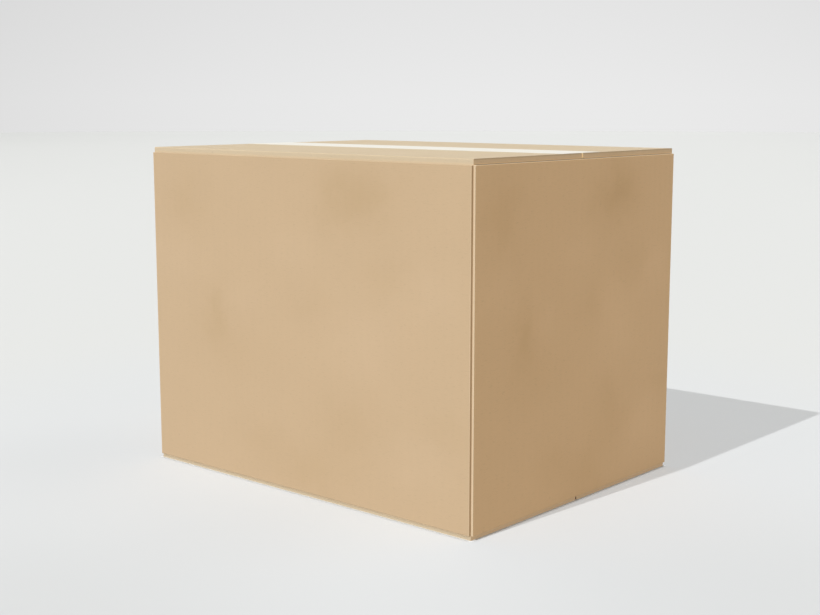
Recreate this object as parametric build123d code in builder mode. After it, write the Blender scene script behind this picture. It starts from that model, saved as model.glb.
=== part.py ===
from build123d import *
import os

# A closed shipping carton: one folded and glued sheet of corrugated board, with a strip of tape
# along each seam. All lengths are in millimetres. +Z is up, the long panels face -Y and +Y,
# and the origin is at the middle of the underside, on the surface that the box stands on.

# Outside sizes of the folded board, without its tape
length = 344.0
depth = 263.0
height = 267.0

# Board and creases
board = 4.0
crease_inset = 2.0
layer_gap = 0.3
corner_round = 0.8
edge_round = 0.4

# Flaps
seam_gap = 1.5
inner_flap_clearance = 1.5

# Glued joint of the sheet, at the back left corner
lap_width = 35.0
lap_taper = 8.0
lap_clearance = 6.0
joint_inset = 1.2

# Tape
tape_width = 50.0
tape_thickness = 0.2

# The long panels and the outer flaps on them stop where the creases of the corners set them in
long_panel_width = length - 2 * crease_inset
short_panel_width = depth - 2 * crease_inset

# The panels end just below the outer flaps, level with the inner flaps
panel_height = height - 2 * (board + layer_gap)
lap_height = panel_height - 2 * (board + lap_clearance)

# All flaps are slit to one length from their creases, so that the outer ones meet at the seam
flap_length = depth / 2 - crease_inset - seam_gap / 2
inner_flap_width = depth - 2 * (board + inner_flap_clearance)
inner_flap_end = length / 2 - crease_inset - flap_length

# The box is the same above and below its middle, so its sections are drawn about that height
middle = tape_thickness + height / 2
plan_view = Plane.XY.offset(middle)
side_view = Plane((0, 0, middle), x_dir=(0, 1, 0), z_dir=(1, 0, 0))
front_view = Plane((0, 0, middle), x_dir=(1, 0, 0), z_dir=(0, -1, 0))


with BuildPart() as carton:
    # Panels: a ring with a square groove down each creased corner. At the back left corner the
    # sheet is joined instead, and the back panel's cut end covers the end of the left panel.
    with BuildSketch(plan_view) as ring:
        with Locations((0, -depth / 2)):
            Rectangle(long_panel_width, board, align=(Align.CENTER, Align.MIN))
        with Locations((length / 2, 0)):
            Rectangle(board, short_panel_width, align=(Align.MAX, Align.CENTER))
        with Locations((length / 2 - crease_inset, depth / 2)):
            Rectangle(length - crease_inset - joint_inset, board, align=(Align.MAX, Align.MAX))
        with Locations((-length / 2, -depth / 2 + crease_inset)):
            Rectangle(board, depth - crease_inset - board, align=(Align.MIN, Align.MIN))
        by_x = ring.vertices().group_by(Axis.X)
        by_y = ring.vertices().group_by(Axis.Y)
        creased_back_corner = by_y[-1].sort_by(Axis.X)[-1]
        fillet([*by_x[0], *by_x[-1], *by_y[0], creased_back_corner], corner_round)
    extrude(amount=panel_height / 2, both=True)

    # The outer edges along the tops and bottoms of the panels are folds too, and slightly round
    long_edges = carton.edges().filter_by(Axis.X).group_by(Axis.Y)
    short_edges = carton.edges().filter_by(Axis.Y).group_by(Axis.X)
    fillet([*long_edges[0], *long_edges[-1], *short_edges[0], *short_edges[-1]], edge_round)

    # Glue lap: turned in from the left panel and stuck flat to the inside of the back panel
    with BuildSketch(front_view.offset(board - depth / 2)) as lap:
        with Locations((-length / 2 + board, 0)):
            Rectangle(lap_width, lap_height, align=(Align.MIN, Align.CENTER))
        chamfer(lap.vertices().group_by(Axis.X)[-1], lap_taper)
    extrude(amount=board)

    # Outer flaps: each hangs on a long panel by a crease thinner than the board, and is set in
    # from the panel's face
    with BuildSketch(side_view) as outer_flaps:
        with Locations((crease_inset - depth / 2, height / 2)):
            Rectangle(flap_length, board, align=(Align.MIN, Align.MAX))
            Rectangle(board - crease_inset, board + layer_gap, align=(Align.MIN, Align.MAX))
        creased_edge = outer_flaps.vertices().group_by(Axis.X)[0].sort_by(Axis.Y)[-1]
        fillet(creased_edge, corner_round)
        mirror(about=Plane.YZ)
        mirror(about=Plane.XZ)
    extrude(amount=long_panel_width / 2, both=True)

    # Inner flaps: each hangs on a short panel and lies close under the outer flaps
    with BuildSketch(front_view):
        with Locations((length / 2 - board, panel_height / 2)):
            Rectangle(length / 2 - board - inner_flap_end, board, align=(Align.MAX, Align.MAX))
        mirror(about=Plane.YZ)
        mirror(about=Plane.XZ)
    extrude(amount=inner_flap_width / 2, both=True)
carton.part.label = "carton"

# Tape: a strip over each seam, cut off level with the ends of the outer flaps
with BuildPart() as top_tape:
    with BuildSketch(Plane.XY.offset(tape_thickness + height)):
        Rectangle(long_panel_width, tape_width)
    extrude(amount=tape_thickness)
top_tape.part.label = "top_tape"

with BuildPart() as bottom_tape:
    with BuildSketch(Plane.XY):
        Rectangle(long_panel_width, tape_width)
    extrude(amount=tape_thickness)
bottom_tape.part.label = "bottom_tape"

os.makedirs("parts", exist_ok=True)
export_step(carton.part, "parts/carton.step")
export_step(top_tape.part, "parts/top_tape.step")
export_step(bottom_tape.part, "parts/bottom_tape.step")
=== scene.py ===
import math
import random
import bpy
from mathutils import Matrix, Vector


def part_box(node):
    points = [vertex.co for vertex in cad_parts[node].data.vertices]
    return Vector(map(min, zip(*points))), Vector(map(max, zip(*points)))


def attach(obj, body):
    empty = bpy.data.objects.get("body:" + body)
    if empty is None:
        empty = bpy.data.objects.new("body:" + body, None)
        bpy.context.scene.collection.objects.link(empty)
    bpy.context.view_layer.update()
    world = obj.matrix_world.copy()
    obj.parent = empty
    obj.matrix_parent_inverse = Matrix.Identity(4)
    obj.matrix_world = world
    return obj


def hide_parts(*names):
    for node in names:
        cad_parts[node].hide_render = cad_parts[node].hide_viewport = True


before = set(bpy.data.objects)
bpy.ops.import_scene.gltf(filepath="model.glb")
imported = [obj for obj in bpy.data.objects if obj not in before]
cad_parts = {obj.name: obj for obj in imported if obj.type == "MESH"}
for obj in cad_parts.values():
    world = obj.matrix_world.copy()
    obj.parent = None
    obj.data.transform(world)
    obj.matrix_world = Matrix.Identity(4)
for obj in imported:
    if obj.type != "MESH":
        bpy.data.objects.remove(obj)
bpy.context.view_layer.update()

from types import SimpleNamespace

import bpy
from mathutils import Vector

mm = 0.001      # Blender's lengths are metres
scene = bpy.context.scene
scene.view_settings.view_transform = "Standard"


def hexToLinear(code):
    # sRGB hex to the linear colour that a socket takes
    values = [int(code[i:i + 2], 16) / 255 for i in (1, 3, 5)]
    return [v / 12.92 if v <= 0.04045 else ((v + 0.055) / 1.055) ** 2.4 for v in values] + [1.0]


def addNode(tree, kind, inputs=(), **settings):
    # one node with its settings and inputs. A list fills its sockets in order, a dictionary by name, and
    # each entry is a value, an output to link, or a node, which stands for its first output
    node = tree.nodes.new("ShaderNode" + kind)
    for setting, value in settings.items():
        setattr(node, setting, value)
    sockets = [socket for socket in node.inputs if socket.enabled]
    if isinstance(inputs, dict):
        sockets = [next(socket for socket in sockets if socket.name == name) for name in inputs]
        inputs = inputs.values()
    for socket, value in zip(sockets, inputs):
        if isinstance(value, bpy.types.Node):
            value = next(output for output in value.outputs if output.enabled)
        if isinstance(value, bpy.types.NodeSocket):
            tree.links.new(value, socket)
        else:
            socket.default_value = value
    return node


def newMaterial(name):
    material = bpy.data.materials.new(name)
    material.use_nodes = True
    material.node_tree.nodes.clear()
    return material, material.node_tree


def dress(obj, material):
    obj.data.materials.clear()
    obj.data.materials.append(material)


def addObject(name, data):
    obj = bpy.data.objects.new(name, data)
    scene.collection.objects.link(obj)
    return obj


carton = {
    # how the sheet is folded
    "board": 4.0 * mm,
    "layerGap": 0.3 * mm,               # between the inner and the outer flaps
    "creaseInset": 2.0 * mm,            # how far a crease sets in a corner or a flap
    "seamGap": 1.5 * mm,                # between the two outer flaps
    # colours
    "liner": "#CEAE84",                 # back and left walls; the tints below paint light and shade by facing
    # painted light and shade: the sunlit front wall is tinted paler and greyer, the shaded right wall deeper
    # and more orange, and the level faces greyer and a little darker against the strong light from above
    "linerFrontPaintedLight": "#CAAE8A",
    "linerRightPaintedShade": "#D1AB7C",
    "linerFlapPaintedShade": "#BEAA89",
    "linerFoldPaintedLight": "#D0BD9F",             # the fold strip from a wall to its flap, painted paler as if the fold caught more light: painted highlight
    "cutEdge": "#C9AB84",               # sawn through liner, flutes and glue
    "seamPaintedLight": "#F4DDB0",              # painted light: the faces inside the upper seam are painted pale, though the tape keeps the light out
    "seamLowerDark": "#6E5036",              # the lower one is painted dark brown
    "creasePaintedHighlight": "#DCC4A2",              # painted highlight on crease faces turned like the front and back walls
    "creasePaintedShade": "#A98A64",              # painted shade on crease faces turned like the side walls
    # gloss
    "roughness": 0.72,
    "roughnessDrift": 0.06,
    "ior": 1.5,
    "sheen": 0.12,                      # loose fibre ends
    "sheenRoughness": 0.5,
    # the paper: sizes, then how much each changes the shade
    "cloudSize": 35 * mm,
    "formationSize": 4 * mm,            # clumps of pulp, as held to the light
    "fibreLength": 12 * mm,
    "fibreWidth": 0.5 * mm,             # real fibres are 0.03 mm; drawn as bundles so that they show
    "fleckLength": 3.5 * mm,
    "fleckWidth": 0.6 * mm,
    "fleckRange": (0.69, 0.76),         # noise at which flecks start and are full, so they stay rare
    "flutePitch": 7.8 * mm,             # C flute
    "clouds": 0.016,
    "formation": 0.014,
    "fibres": 0.022,
    "flecks": 0.06,
    "flutes": 0.005,
    # relief under the finger
    "fibreShare": 0.6,                  # the rest of the paper's relief is clumps of pulp
    "fibreRelief": 0.12 * mm,
    "fibreReliefStrength": 0.25,
    "fluteRelief": 0.03 * mm,
    "fluteReliefStrength": 0.35,
    # marks along edges: how far they start short of the edge, and how far they run past it
    "cornerReach": (0.5 * mm, 1.95 * mm),
    "scoreReach": (0.6 * mm, 0.15 * mm),
    "rollReach": (0.6 * mm, 0.1 * mm),
    "scoreSlack": 0.2 * mm,             # a score line stops this far past the long panel's end
    "seamSlack": 0.15 * mm,             # a face this near the seam lies inside it
    "edgePaintedShade": 0.09,                    # painted shade: the rounded upper edges of the long walls and of the flaps, which catch extra light, are made darker by this much
    # tones that change over a short way from an edge
    "foldFade": (0.6 * mm, 0.15 * mm),  # from the fold's colour to the flap's, short of the flap's face
    "outerLine": (1.3 * mm, 0.8 * mm),  # the outer liner on a cut end, short of the flap's face
    "outerLineShade": 0.86,
    "liftUnderEdgeReach": (0.4 * mm, 0.7 * mm),  # painted light on the cut end just past the flap's back, lifting the shade of the gap between the layers
    "liftUnderEdgeGain": 1.15,
    "footFade": (2.6 * mm, 3.1 * mm),   # the lower folds, by height
    "footFold": (1.02, 1.45),           # painted light: they and the lower cut ends are painted paler just under the walls, where the overhang shades them
    "footCut": 1.2,
    "soleFade": (1.4 * mm, 1.9 * mm),
    "sole": 1.2,                        # and painted paler at the lower edge where the box stands on them, lifting the shade at the floor
    # soft smudges from handling: place and reach as parts of a wall's width and height, and shade
    "smudgeTint": (0.82, 1.0, 1.5),     # how much a smudge takes of red, green and blue
    "smudgeEnd": 1.35,                  # the short walls are handled more
    "smudgeFall": 2.2,
    "smudgeWander": 0.12,               # how far their outlines stray, as a part of the wall
    "wanderSize": 22.2 * mm,
    "smudges": [
        (0.180, 0.400, 0.170, 0.130, -0.103),
        (-0.380, 0.350, 0.110, 0.150, -0.051),
        (-0.280, 0.010, 0.070, 0.120, -0.069),
        (-0.230, -0.100, 0.200, 0.130, -0.030),
        (0.050, 0.070, 0.100, 0.080, -0.028),
        (0.280, 0.180, 0.150, 0.100, -0.034),
        (0.160, -0.270, 0.150, 0.140, -0.046),
        (-0.130, -0.370, 0.120, 0.100, -0.034),
        (0.060, -0.400, 0.180, 0.120, -0.026),
        (0.020, -0.450, 0.150, 0.110, -0.037),
        (0.430, -0.220, 0.130, 0.080, -0.028),
        (0.200, 0.000, 0.160, 0.190, 0.039),
        (0.390, 0.150, 0.130, 0.110, 0.041),
        (-0.410, 0.170, 0.140, 0.120, 0.030),
        (0.360, -0.330, 0.140, 0.140, 0.030),
        (-0.030, 0.230, 0.120, 0.090, 0.021),
        (-0.170, 0.060, 0.080, 0.090, 0.021),
    ],
}


def readSheet(tree):
    # where a point lies on the folded sheet and which way its face looks
    c = carton
    low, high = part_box("carton")
    at = SimpleNamespace()
    at.middle = (low.z + high.z) / 2                # the next three are heights from here
    at.flapFace = high.z - at.middle
    at.flapBack = at.flapFace - c["board"]
    at.wallEnd = at.flapBack - c["layerGap"]
    at.longHalf = high.x - c["creaseInset"]         # half the width of a long panel, then of a short one
    at.shortHalf = high.y - c["creaseInset"]

    at.place = addNode(tree, "TexCoord").outputs["Object"]
    facing = addNode(tree, "NewGeometry").outputs["True Normal"]
    x, y, at.z = addNode(tree, "SeparateXYZ", [at.place]).outputs
    at.nx, at.ny, _ = addNode(tree, "SeparateXYZ", [facing]).outputs
    outwards = addNode(tree, "VectorMath", [at.place], operation="ABSOLUTE")
    at.ax, at.ay, _ = addNode(tree, "SeparateXYZ", [outwards]).outputs
    turned = addNode(tree, "VectorMath", [facing], operation="ABSOLUTE")
    ends, sides, levels = addNode(tree, "SeparateXYZ", [turned]).outputs
    fromMiddle = addNode(tree, "Math", [at.z, at.middle], operation="SUBTRACT")
    at.fromMiddle = addNode(tree, "Math", [fromMiddle], operation="ABSOLUTE")

    squarely = 0.7      # a face looks along an axis when its normal has this much of it
    at.isEnd = addNode(tree, "Math", [ends, squarely], operation="GREATER_THAN")
    at.isSide = addNode(tree, "Math", [sides, squarely], operation="GREATER_THAN")
    at.isLevel = addNode(tree, "Math", [levels, squarely], operation="GREATER_THAN")
    at.isUpright = addNode(tree, "Math", [1.0, at.isLevel], operation="SUBTRACT")
    at.isFront = addNode(tree, "Math", [at.ny, -squarely], operation="LESS_THAN")
    at.isRight = addNode(tree, "Math", [at.nx, squarely], operation="GREATER_THAN")
    pastWall = at.wallEnd + c["scoreReach"][1]
    at.isFlap = addNode(tree, "Math", [at.fromMiddle, pastWall], operation="GREATER_THAN")
    at.isLower = addNode(tree, "Math", [at.z, at.middle], operation="LESS_THAN")
    at.along = addNode(tree, "Mix", [at.isEnd, x, y], data_type="FLOAT")
    return at


def alongEdge(tree, distance, edge, reach):
    # 1 on a strip along an edge, from short of it to past it
    short, past = reach
    middle, half = edge + (past - short) / 2, (past + short) / 2
    return addNode(tree, "Math", [distance, middle, half], operation="COMPARE")


def paperPattern(tree, at):
    # shade of the plain sheet about 1, with the patterns that also roughen it
    c = carton

    def drawnOut(length, width, detail):
        # noise drawn out along the machine direction, which is level on a wall and lengthwise on a flap
        onLong = (1 / length, 1 / width, 1 / width)
        onShort = (1 / width, 1 / length, 1 / width)
        onLong = addNode(tree, "VectorMath", [at.place, onLong], operation="MULTIPLY")
        onShort = addNode(tree, "VectorMath", [at.place, onShort], operation="MULTIPLY")
        vector = addNode(tree, "Mix", [at.isEnd, onLong, onShort], data_type="VECTOR")
        return addNode(tree, "TexNoise", {"Vector": vector, "Scale": 1.0, "Detail": detail})

    clouds = addNode(tree, "TexNoise", {"Vector": at.place, "Scale": 1 / c["cloudSize"], "Detail": 2.0})
    pulp = addNode(tree, "TexNoise", {"Vector": at.place, "Scale": 1 / c["formationSize"], "Detail": 3.0})
    strands = drawnOut(c["fibreLength"], c["fibreWidth"], 2.0)
    shade = 1 - c["clouds"] - c["formation"] - c["fibres"]
    for pattern, amount in ((clouds, c["clouds"]), (pulp, c["formation"]), (strands, c["fibres"])):
        shade = addNode(tree, "Math", [pattern, 2 * amount, shade], operation="MULTIPLY_ADD")

    few, many = c["fleckRange"]
    flecks = addNode(tree, "MapRange", {
        "Value": drawnOut(c["fleckLength"], c["fleckWidth"], 0.0),
        "From Min": few, "From Max": many, "To Min": 0.0, "To Max": -c["flecks"],
    })
    shade = addNode(tree, "Math", [flecks, shade], operation="ADD")

    wave = addNode(tree, "Math", [at.along, 2 * math.pi / c["flutePitch"]], operation="MULTIPLY")
    wave = addNode(tree, "Math", [wave], operation="SINE")
    shade = addNode(tree, "Math", [wave, c["flutes"] / 2, shade], operation="MULTIPLY_ADD")
    return shade, pulp, strands, wave


def handlingSmudges(tree, at):
    # the tint that soft smudges leave on the walls; the back and left walls have them turned half round
    c = carton
    width = addNode(tree, "Mix", [at.isEnd, 2 * at.longHalf, 2 * at.shortHalf], data_type="FLOAT")
    u = addNode(tree, "Math", [at.along, width], operation="DIVIDE")
    v = addNode(tree, "Math", [at.z, at.middle], operation="SUBTRACT")
    v = addNode(tree, "Math", [v, 2 * at.wallEnd], operation="DIVIDE")
    turn = addNode(tree, "Math", [at.nx, at.ny], operation="SUBTRACT")
    turn = addNode(tree, "Math", [turn], operation="SIGN")
    v = addNode(tree, "Math", [v, turn], operation="MULTIPLY")
    stray = c["smudgeWander"]
    wander = addNode(tree, "TexNoise", {"Vector": at.place, "Scale": 1 / c["wanderSize"], "Detail": 3.0})
    wander = wander.outputs["Color"]
    onWall = addNode(tree, "CombineXYZ", [u, v])
    onWall = addNode(tree, "VectorMath", [wander, (stray, stray, 0), onWall], operation="MULTIPLY_ADD")

    smudge = 0.0
    for su, sv, reachU, reachV, shadeShift in c["smudges"]:
        scale = (1 / reachU, 1 / reachV, 0)
        shift = (-(su + stray / 2) / reachU, -(sv + stray / 2) / reachV, 0)
        off = addNode(tree, "VectorMath", [onWall, scale, shift], operation="MULTIPLY_ADD")
        squared = addNode(tree, "VectorMath", [off, off], operation="DOT_PRODUCT")
        spot = addNode(tree, "Math", [squared, -c["smudgeFall"]], operation="MULTIPLY")
        spot = addNode(tree, "Math", [spot], operation="EXPONENT")
        smudge = addNode(tree, "Math", [spot, shadeShift, smudge], operation="MULTIPLY_ADD")
    strength = addNode(tree, "Mix", [at.isEnd, 1.0, c["smudgeEnd"]], data_type="FLOAT")
    smudge = addNode(tree, "Math", [smudge, strength], operation="MULTIPLY")
    smudge = addNode(tree, "Math", [smudge, at.isUpright], operation="MULTIPLY")
    tint = addNode(tree, "VectorMath", [c["smudgeTint"], smudge], operation="SCALE")
    return addNode(tree, "VectorMath", [tint, (1, 1, 1)], operation="ADD")


def sheetColour(tree, at):
    # the liner tinted by wall with painted light and shade, then the folds, flaps, creases, cut ends and seam
    # over it
    c = carton
    tone = {name: hexToLinear(value) for name, value in c.items() if isinstance(value, str)}

    start, end = c["foldFade"]
    fold = addNode(tree, "MapRange", {
        "Value": at.fromMiddle, "From Min": at.flapFace - start, "From Max": at.flapFace - end,
    }, interpolation_type="SMOOTHSTEP")
    fold = addNode(tree, "Mix", [fold, tone["linerFoldPaintedLight"], tone["linerFlapPaintedShade"]], data_type="RGBA")

    # upright creases: painted highlight on the faces turned like the front and back walls, painted shade on
    # those turned like the side walls
    onLong = alongEdge(tree, at.ax, at.longHalf, c["cornerReach"])
    onShort = alongEdge(tree, at.ay, at.shortHalf, c["cornerReach"])
    isCrease = addNode(tree, "Math", [onLong, onShort], operation="MULTIPLY")
    crease = addNode(tree, "Mix", [at.isEnd, tone["creasePaintedHighlight"], tone["creasePaintedShade"]], data_type="RGBA")

    # cut ends of the flaps, with a darker line for the outer liner and painted light along the edge beside
    # the gap between the layers
    start, end = c["outerLine"]
    outer = addNode(tree, "MapRange", {
        "Value": at.fromMiddle, "From Min": at.flapFace - start, "From Max": at.flapFace - end,
        "To Min": 1.0, "To Max": c["outerLineShade"],
    })
    start, end = c["liftUnderEdgeReach"]
    liftUnderEdge = addNode(tree, "MapRange", {
        "Value": at.fromMiddle, "From Min": at.flapBack + start, "From Max": at.flapBack + end,
        "To Min": c["liftUnderEdgeGain"], "To Max": 1.0,
    })
    linesAndLift = addNode(tree, "Math", [outer, liftUnderEdge], operation="MULTIPLY")
    cut = addNode(tree, "VectorMath", [tone["cutEdge"][:3], linesAndLift], operation="SCALE")
    isCut = addNode(tree, "Math", [at.isFlap, at.isEnd], operation="MULTIPLY")

    # the faces inside the seam: painted light in the upper one, dark brown in the lower one
    nearSeam = addNode(tree, "Math", [at.ay, c["seamGap"] / 2 + c["seamSlack"]], operation="LESS_THAN")
    inSeam = addNode(tree, "Math", [nearSeam, at.isSide], operation="MULTIPLY")
    seam = addNode(tree, "Mix", [at.isLower, tone["seamPaintedLight"], tone["seamLowerDark"]], data_type="RGBA")

    layers = [
        (at.isFront, tone["linerFrontPaintedLight"]), (at.isRight, tone["linerRightPaintedShade"]), (at.isFlap, fold),
        (at.isLevel, tone["linerFlapPaintedShade"]), (isCrease, crease), (isCut, cut), (inSeam, seam),
    ]
    colour = tone["liner"]
    for where, finish in layers:
        colour = addNode(tree, "Mix", [where, colour, finish], data_type="RGBA")
    return colour


def foldPaintedShading(tree, at):
    # painted light and shade along the folds: upper edges darker where they catch light, lower folds and
    # edges paler where the walls and floor shade them
    c = carton
    low, high = c["footFade"]
    foot = addNode(tree, "MapRange", {
        "Value": at.z, "From Min": low, "From Max": high,
        "To Min": c["footFold"][0], "To Max": c["footFold"][1],
    })
    foot = addNode(tree, "Mix", [at.isEnd, foot, c["footCut"]], data_type="FLOAT")
    isFoot = addNode(tree, "Math", [at.isFlap, at.isLower], operation="MULTIPLY")
    foot = addNode(tree, "Mix", [isFoot, 1.0, foot], data_type="FLOAT")

    low, high = c["soleFade"]
    sole = addNode(tree, "MapRange", {
        "Value": at.z, "From Min": low, "From Max": high, "To Min": c["sole"], "To Max": 1.0,
    })
    sole = addNode(tree, "Mix", [at.isLevel, sole, 1.0], data_type="FLOAT")

    # painted shade on the upper edges that catch extra light
    scored = alongEdge(tree, at.fromMiddle, at.wallEnd, c["scoreReach"])
    onLong = addNode(tree, "Math", [at.ax, at.longHalf + c["scoreSlack"]], operation="LESS_THAN")
    scored = addNode(tree, "Math", [scored, onLong], operation="MULTIPLY")
    rolled = alongEdge(tree, at.fromMiddle, at.flapFace, c["rollReach"])
    edgePaintedShade = addNode(tree, "Math", [rolled, at.isUpright, scored], operation="MULTIPLY_ADD")
    edgePaintedShade = addNode(tree, "Math", [edgePaintedShade, -c["edgePaintedShade"], 1.0], operation="MULTIPLY_ADD")
    lowerPaintedLight = addNode(tree, "Math", [foot, sole], operation="MULTIPLY")
    return addNode(tree, "Math", [lowerPaintedLight, edgePaintedShade], operation="MULTIPLY")


def kraftLinerboard():
    # corrugated board faced with unbleached kraft liner, calendered and left unprinted: dull warm brown, with
    # fibres along the machine direction and cloudy where the pulp is thin; its tints by facing, folds and
    # edges hold painted light and shade
    c = carton
    material, tree = newMaterial("kraftLinerboard")
    at = readSheet(tree)
    shade, pulp, strands, wave = paperPattern(tree, at)
    shade = addNode(tree, "Math", [shade, foldPaintedShading(tree, at)], operation="MULTIPLY")
    colour = addNode(tree, "VectorMath", [sheetColour(tree, at), shade], operation="SCALE")
    colour = addNode(tree, "VectorMath", [colour, handlingSmudges(tree, at)], operation="MULTIPLY")

    relief = addNode(tree, "Math", [strands, c["fibreShare"]], operation="MULTIPLY")
    relief = addNode(tree, "Math", [pulp, 1 - c["fibreShare"], relief], operation="MULTIPLY_ADD")
    bump = addNode(tree, "Bump", {
        "Strength": c["fibreReliefStrength"], "Distance": c["fibreRelief"], "Height": relief,
    })
    bump = addNode(tree, "Bump", {
        "Strength": c["fluteReliefStrength"], "Distance": c["fluteRelief"], "Height": wave, "Normal": bump,
    })
    drift = c["roughnessDrift"]
    rough = addNode(tree, "Math", [pulp, 2 * drift, c["roughness"] - drift], operation="MULTIPLY_ADD")
    shader = addNode(tree, "BsdfPrincipled", {
        "Base Color": colour, "Roughness": rough, "IOR": c["ior"], "Normal": bump,
        "Sheen Weight": c["sheen"], "Sheen Roughness": c["sheenRoughness"],
    })
    addNode(tree, "OutputMaterial", {"Surface": shader})
    return material


dress(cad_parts["carton"], kraftLinerboard())
print("carton: kraft linerboard on")


tape = {
    "colour": "#D9D6CC",
    "roughness": 0.6,
    "roughnessDrift": 0.06,
    "ior": 1.48,
    "threadPitch": 1.2 * mm,            # streaks along the paper, from its making
    "threadLength": 40 * mm,
    "streaks": 0.02,
    "streakRelief": 0.08 * mm,
    "streakReliefStrength": 0.3,
    "pulpSize": 3 * mm,
    "pulp": 0.012,
    "pulpRelief": 0.1 * mm,
    "pulpReliefStrength": 0.2,
    "toothPitch": 1.3 * mm,             # left by the blade of the dispenser
    "toothDepth": 0.6 * mm,
    "toothReach": 4 * mm,               # how far from its ends the strip is drawn to the teeth
    "dip": 0.22 * mm,                   # how far it sinks into the seam
    "dipDrift": 0.2,                    # shallower than that by this part on average, and by twice it at most
    "dipWave": 180 * mm,
    # faint ripples: how many waves add up, radians a metre along and across, and the height of them all
    "waves": 6,
    "waveAlong": (20, 90),
    "waveAcross": (-60, 60),
    "wrinkle": 0.05 * mm,
    "rubbedEdge": 4 * mm,               # the long edges are rubbed flat this far in
    "rows": 150,                        # steps along the strip
    "seamStep": 0.4 * mm,               # finer steps across it, over the seam
    "seamSteps": 5,
    "smoothAngle": 35,
}


def whitePaperTape():
    # bleached kraft paper tape, gummed and calendered: clean white and satin, with faint streaks along it
    c = tape
    material, tree = newMaterial("whitePaperTape")
    place = addNode(tree, "TexCoord").outputs["Object"]
    stretch = (1 / c["threadLength"], 1 / c["threadPitch"], 1 / c["threadLength"])
    drawn = addNode(tree, "VectorMath", [place, stretch], operation="MULTIPLY")
    streak = addNode(tree, "TexNoise", {"Vector": drawn, "Scale": 1.0, "Detail": 2.0})
    pulp = addNode(tree, "TexNoise", {"Vector": place, "Scale": 1 / c["pulpSize"], "Detail": 3.0})
    shade = 1 - c["streaks"] - c["pulp"]
    for pattern, amount in ((streak, c["streaks"]), (pulp, c["pulp"])):
        shade = addNode(tree, "Math", [pattern, 2 * amount, shade], operation="MULTIPLY_ADD")
    colour = addNode(tree, "VectorMath", [hexToLinear(c["colour"])[:3], shade], operation="SCALE")
    drift = c["roughnessDrift"]
    rough = addNode(tree, "Math", [pulp, 2 * drift, c["roughness"] - drift], operation="MULTIPLY_ADD")
    bump = addNode(tree, "Bump", {
        "Strength": c["streakReliefStrength"], "Distance": c["streakRelief"], "Height": streak,
    })
    bump = addNode(tree, "Bump", {
        "Strength": c["pulpReliefStrength"], "Distance": c["pulpRelief"], "Height": pulp, "Normal": bump,
    })
    shader = addNode(tree, "BsdfPrincipled", {
        "Base Color": colour, "Roughness": rough, "IOR": c["ior"], "Normal": bump,
    })
    addNode(tree, "OutputMaterial", {"Surface": shader})
    return material


def tapeStrip(name, node, outward, wrinkle, seed):
    # a strip pressed on across the seam, as two sheets of points joined at the rim: outward is 1 for the
    # upper strip and -1 for the lower one
    c = tape
    low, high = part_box(node)
    board = low.z if outward > 0 else high.z        # height of the board's face
    thick = high.z - low.z
    halfWidth, end = high.y, high.x
    rng = random.Random(seed)
    ripples = [
        (rng.uniform(*c["waveAlong"]), rng.uniform(*c["waveAcross"]), rng.uniform(0, 2 * math.pi))
        for _ in range(c["waves"])
    ]

    def ripple(x, y):
        total = sum(math.sin(x * alongX + y * alongY + start) for alongX, alongY, start in ripples)
        rubbed = min(1.0, (halfWidth - abs(y)) / c["rubbedEdge"])
        return wrinkle * (0.5 + 0.5 * total / len(ripples)) * rubbed

    def dip(x, y):
        reach = max(0.0, 1 - (2 * y / carton["seamGap"]) ** 2)
        drift = c["dipDrift"] * (1 - math.sin(2 * math.pi * x / c["dipWave"] + seed))
        return c["dip"] * reach * (1 - drift)

    def toothed(x, y):
        depth = c["toothDepth"] * abs(2 * (y / c["toothPitch"] % 1.0) - 1)
        near = max(0.0, 1 - (end - abs(x)) / c["toothReach"])
        return x - math.copysign(depth * near, x)

    # stations across the strip: each tooth's tip and root, finer steps over the seam, and the far edge
    step = c["toothPitch"] / 2
    overSeam = [c["seamStep"] * i for i in range(-c["seamSteps"], c["seamSteps"] + 1)]
    across = [i * step - halfWidth for i in range(int(2 * halfWidth / step) + 1)]
    across = [y for y in across if abs(y) > overSeam[-1] + c["seamStep"]]
    across = sorted(across + overSeam + [halfWidth])
    lengthwise = [end * (2 * i / c["rows"] - 1) for i in range(c["rows"] + 1)]

    rows, columns = len(lengthwise), len(across)
    layer = rows * columns
    points, faces = [], []
    for side in (0, 1):         # against the board, then outside
        for x in lengthwise:
            for y in across:
                height = side * (thick + ripple(x, y)) - dip(x, y)
                points.append((toothed(x, y), y, board + outward * height))
        for r in range(rows - 1):
            for k in range(columns - 1):
                a = side * layer + r * columns + k
                quad = (a, a + 1, a + columns + 1, a + columns)
                faces.append(quad[::-1] if side else quad)
    rim = [r * columns for r in range(rows)]
    rim += [(rows - 1) * columns + k for k in range(1, columns)]
    rim += [r * columns + columns - 1 for r in range(rows - 2, -1, -1)]
    rim += list(range(columns - 2, 0, -1))
    faces += [(a, b, b + layer, a + layer) for a, b in zip(rim, rim[1:] + rim[:1])]

    mesh = bpy.data.meshes.new(name)
    mesh.from_pydata(points, [], faces)
    mesh.update()
    mesh.polygons.foreach_set("use_smooth", [True] * len(mesh.polygons))
    mesh.set_sharp_from_angle(angle=math.radians(c["smoothAngle"]))
    if outward < 0:
        mesh.flip_normals()
    return addObject(name, mesh)


tapeFinish = whitePaperTape()

topStrip = tapeStrip("topTapeStrip", "top_tape", 1, tape["wrinkle"], 3)
dress(topStrip, tapeFinish)
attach(topStrip, "root")
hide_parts("top_tape")

bottomStrip = tapeStrip("bottomTapeStrip", "bottom_tape", -1, 0.0, 8)      # pressed flat by the floor
dress(bottomStrip, tapeFinish)
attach(bottomStrip, "root")
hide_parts("bottom_tape")
print("tape: both strips laid on their seams")


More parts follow.
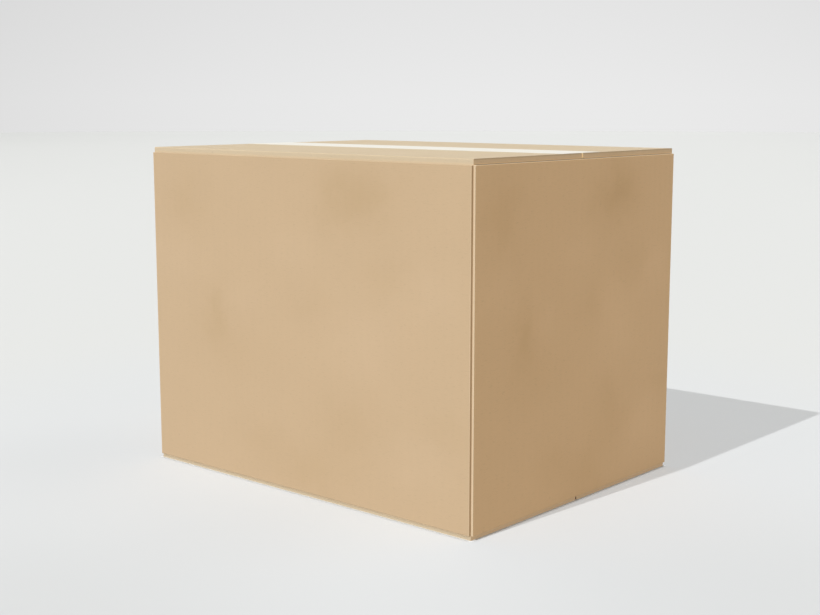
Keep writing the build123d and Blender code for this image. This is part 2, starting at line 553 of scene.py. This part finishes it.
backdrop = {
    "colour": "#EAEAEA",
    "glow": "#A0A0A0",                  # the room's own light
    "middle": (-0.591, 0.807),          # the way to its lightest place
    "side": 0.68,                       # fall-off to either side, for the square of the sine
    "up": 0.7,                          # and upwards
    "most": 0.14,
}


def fallOff(tree, towards):
    # 1 at the backdrop's lightest place, and softly less away from it
    c = backdrop
    mx, my = c["middle"]
    aside = addNode(tree, "VectorMath", [towards, (my, -mx, 0)], operation="DOT_PRODUCT")
    aside = addNode(tree, "Math", [aside, aside], operation="MULTIPLY")
    aside = addNode(tree, "Math", [aside, c["side"]], operation="MULTIPLY")
    up = addNode(tree, "SeparateXYZ", [towards]).outputs["Z"]
    up = addNode(tree, "Math", [up, 0.0], operation="MAXIMUM")
    total = addNode(tree, "Math", [up, c["up"], aside], operation="MULTIPLY_ADD")
    total = addNode(tree, "Math", [total, c["most"]], operation="MINIMUM")
    return addNode(tree, "Math", [1.0, total], operation="SUBTRACT")


def isSeen(tree):
    # 1 for what the camera sees, itself or in a gloss, and 0 for what lights the box
    ray = addNode(tree, "LightPath").outputs
    return addNode(tree, "Math", [ray["Is Camera Ray"], ray["Is Glossy Ray"]], operation="MAXIMUM")


floor = {
    "radius": 12.0,
    "sides": 96,
    "height": 1.1 * mm,                 # the lower tape and the soft lower folds bed down by this much
    "seen": "#D0D1CF",
    "near": "#CDD0D2",                  # painted cooler and darker close round the box, offsetting the warm light that its walls throw on the floor
    "nearReach": (0.15, 0.75),
    # painted light: the floor is painted paler where the walls overhang and shade it: how much, and where
    # that fades, out from the flaps
    "foot": (0.5, 1.4 * mm, 3.0 * mm),
    "bounce": "#A1A19F",                # what lights the box from below
    # where the floor takes on the backdrop's fall-off: from, to, and how much of it
    "fades": [(2.0, 7.0, 0.35), (6.0, 12.0, 0.65)],
    # painted shade: soft darker pools round the box, where the light falls off: x, y, reach and shade
    "paintedShadePools": [
        (0.04, -0.41, 0.30, -0.070),
        (0.40, -0.10, 0.30, -0.060),
        (-0.20, -0.20, 0.20, -0.045),
        (0.02, -0.17, 0.16, -0.040),
    ],
}


def overhangPaintedLight(tree, place):
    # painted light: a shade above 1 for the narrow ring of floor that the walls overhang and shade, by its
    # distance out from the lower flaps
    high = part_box("carton")[1]
    inset = carton["creaseInset"]
    flaps = (high.x - inset, high.y - inset, high.z)
    off = addNode(tree, "VectorMath", [place], operation="ABSOLUTE")
    off = addNode(tree, "VectorMath", [off, flaps], operation="SUBTRACT")
    off = addNode(tree, "VectorMath", [off, (0, 0, 0)], operation="MAXIMUM")
    off = addNode(tree, "VectorMath", [off], operation="LENGTH")
    paler, start, end = floor["foot"]
    return addNode(tree, "MapRange", {
        "Value": off, "From Min": start, "From Max": end, "To Min": 1 + paler, "To Max": 1.0,
    }, interpolation_type="SMOOTHSTEP")


def mattEmulsion():
    # matt emulsion rolled on smooth screed: pale and without gloss, and softly less bright far off; round the
    # box it carries painted shade, painted light and a painted cooler tint
    c = floor
    material, tree = newMaterial("mattEmulsion")
    place = addNode(tree, "TexCoord").outputs["Object"]
    away = addNode(tree, "VectorMath", [place], operation="LENGTH")
    towards = addNode(tree, "VectorMath", [place], operation="NORMALIZE")
    far = 0.0
    for start, end, part in c["fades"]:
        step = addNode(tree, "MapRange", {
            "Value": away, "From Min": start, "From Max": end, "To Max": part,
        }, interpolation_type="SMOOTHSTEP")
        far = addNode(tree, "Math", [step, far], operation="ADD")
    shade = addNode(tree, "Mix", [far, 1.0, fallOff(tree, towards)], data_type="FLOAT")
    for x, y, reach, shadeShift in c["paintedShadePools"]:
        off = addNode(tree, "VectorMath", [place, (x, y, 0)], operation="DISTANCE")
        shadePool = addNode(tree, "MapRange", {
            "Value": off, "From Max": reach, "To Min": shadeShift, "To Max": 0.0,
        }, interpolation_type="SMOOTHSTEP")
        shade = addNode(tree, "Math", [shadePool, shade], operation="ADD")
    shade = addNode(tree, "Math", [shade, overhangPaintedLight(tree, place)], operation="MULTIPLY")
    start, end = c["nearReach"]
    near = addNode(tree, "MapRange", {
        "Value": away, "From Min": start, "From Max": end, "To Min": 1.0, "To Max": 0.0,
    }, interpolation_type="SMOOTHSTEP")
    seen = addNode(tree, "Mix", [near, hexToLinear(c["seen"]), hexToLinear(c["near"])], data_type="RGBA")
    seen = addNode(tree, "VectorMath", [seen, shade], operation="SCALE")
    colour = addNode(tree, "Mix", [isSeen(tree), hexToLinear(c["bounce"]), seen], data_type="RGBA")
    shader = addNode(tree, "BsdfDiffuse", {"Color": colour})
    addNode(tree, "OutputMaterial", {"Surface": shader})
    return material


def floorDisc(name):
    turns = [2 * math.pi * i / floor["sides"] for i in range(floor["sides"])]
    ring = [(floor["radius"] * math.cos(t), floor["radius"] * math.sin(t), floor["height"]) for t in turns]
    mesh = bpy.data.meshes.new(name)
    mesh.from_pydata(ring, [], [tuple(range(len(ring)))])
    mesh.update()
    return addObject(name, mesh)


studioFloor = floorDisc("studioFloor")
dress(studioFloor, mattEmulsion())
print("floor: laid")


light = {
    # each lamp: strength, degrees across, height above level, degrees turned from +Y towards +X, shadow
    "key": (1.6, 0.5, 44.4, 3.67, True),
    "overhead": (1.8, 1, 90, 0, True),
    # level lamps that even out the walls
    "fillFront": (0.83, 5, 0, 0, False),
    "fillRight": (0.83, 5, 0, -90, False),
    "fillBack": (0.83, 5, 0, 180, False),
    "fillLeft": (0.83, 5, 0, 90, False),
}

for name, (strength, spread, height, turn, shadow) in light.items():
    sun = bpy.data.lights.new(name, "SUN")
    sun.energy = strength
    sun.angle = math.radians(spread)
    sun.use_shadow = shadow
    up, aside = math.radians(height), math.radians(turn)
    travel = Vector((math.sin(aside) * math.cos(up), math.cos(aside) * math.cos(up), -math.sin(up)))
    lamp = addObject(name, sun)
    lamp.rotation_mode = "QUATERNION"
    lamp.rotation_quaternion = travel.to_track_quat("-Z", "Y")
    lamp.location = -2 * travel         # a sun lights the same from any place; this is clear of the box

world = bpy.data.worlds.new("studio")
scene.world = world
world.use_nodes = True
sky = world.node_tree
sky.nodes.clear()
look = addNode(sky, "TexCoord").outputs["Generated"]
paint, glow = hexToLinear(backdrop["colour"])[:3], hexToLinear(backdrop["glow"])
paint = addNode(sky, "VectorMath", [paint, fallOff(sky, look)], operation="SCALE")
skyColour = addNode(sky, "Mix", [isSeen(sky), glow, paint], data_type="RGBA")
background = addNode(sky, "Background", {"Color": skyColour, "Strength": 1.0})
addNode(sky, "OutputWorld", {"Surface": background})
print("light: lamps and studio glow on")


camera = {
    "azimuth": 41.224,          # degrees, from in front of the box towards its right side
    "elevation": 8.869,
    "distance": 1.1221,
    "aim": 0.1338,              # height of the point that it looks at, over the middle of the floor
    "lens": 58.68,              # in millimetres, as is the sensor's width
    "sensor": 36.0,
    "clip": (0.05, 60.0),
}

cameraData = bpy.data.cameras.new("camera")
cameraData.lens = camera["lens"]
cameraData.sensor_width = camera["sensor"]
cameraData.clip_start, cameraData.clip_end = camera["clip"]
eye = addObject("camera", cameraData)
turn, rise = math.radians(camera["azimuth"]), math.radians(camera["elevation"])
back = Vector((math.sin(turn) * math.cos(rise), -math.cos(turn) * math.cos(rise), math.sin(rise)))
eye.location = Vector((0, 0, camera["aim"])) + back * camera["distance"]
eye.rotation_mode = "QUATERNION"
eye.rotation_quaternion = (-back).to_track_quat("-Z", "Y")
scene.camera = eye
print("camera: set")
